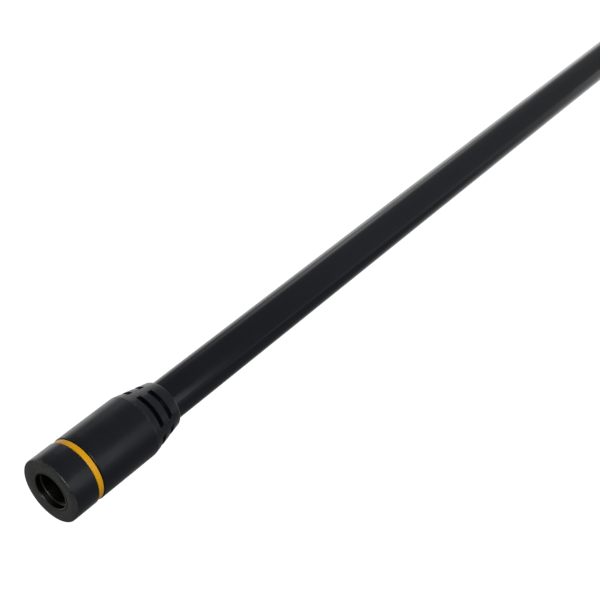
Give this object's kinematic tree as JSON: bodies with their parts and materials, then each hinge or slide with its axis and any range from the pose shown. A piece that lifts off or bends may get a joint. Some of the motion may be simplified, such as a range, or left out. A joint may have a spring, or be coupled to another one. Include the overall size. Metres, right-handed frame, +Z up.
{
  "type": "microphone stand extension rod",
  "caption": "Straight round rod with a threaded socket hub, soft slotted grip and accent ring at one end, and a threaded end with a lock nut at the other.",
  "frame": {"origin": "on the rod's axis, at the first crest of the socket's inside thread, 2.65 mm behind the hub's end face", "axes": "+X along the rod from the hub to the far thread, +Z up; the flex slots are turned about +X from +Z"},
  "size_m": [0.6, 0.0276, 0.0276],
  "materials": {
    "cap_plastic": "fine moulded grain, satin",
    "grip_rubber": "soft touch, matt",
    "accent_plastic": "moulded yellow, satin",
    "tube_paint": "satin black powder coat",
    "core_nylon": "moulded, plain",
    "turned_steel": "turned, black oxide",
    "pin_steel": "rolled spring steel",
    "nut_metal": "knurled, nickel plated",
    "washer_rubber": "plain",
    "washer_nylon": "natural nylon"
  },
  "bodies": {
    "rod": {"socket_cap": "cap_plastic", "thread_socket": "turned_steel", "socket_washer": "washer_rubber", "hub_core": "core_nylon", "accent_ring": "accent_plastic", "grip_sleeve": "grip_rubber", "socket_pin": "pin_steel", "tube": "tube_paint", "end_collar": "cap_plastic", "thread_spigot": "turned_steel", "spigot_pin": "pin_steel"},
    "nut_carrier": {"friction_washer": "washer_nylon"},
    "nut": {"lock_nut": "nut_metal"}
  },
  "joints": [
    {"name": "nut_travel", "type": "slide", "parent": "rod", "child": "nut_carrier", "axis": [1, 0, 0], "range_m": [0, 0.01222]},
    {"name": "nut_turn", "type": "hinge", "parent": "nut_carrier", "child": "nut", "pos_m": [0.57975, 0, 0], "axis": [1, 0, 0], "range_deg": [0, 4680]}
  ],
  "couplings": [
    {"joint": "nut_travel", "follows": "nut_turn", "m_per_rad": 0.00014961}
  ]
}
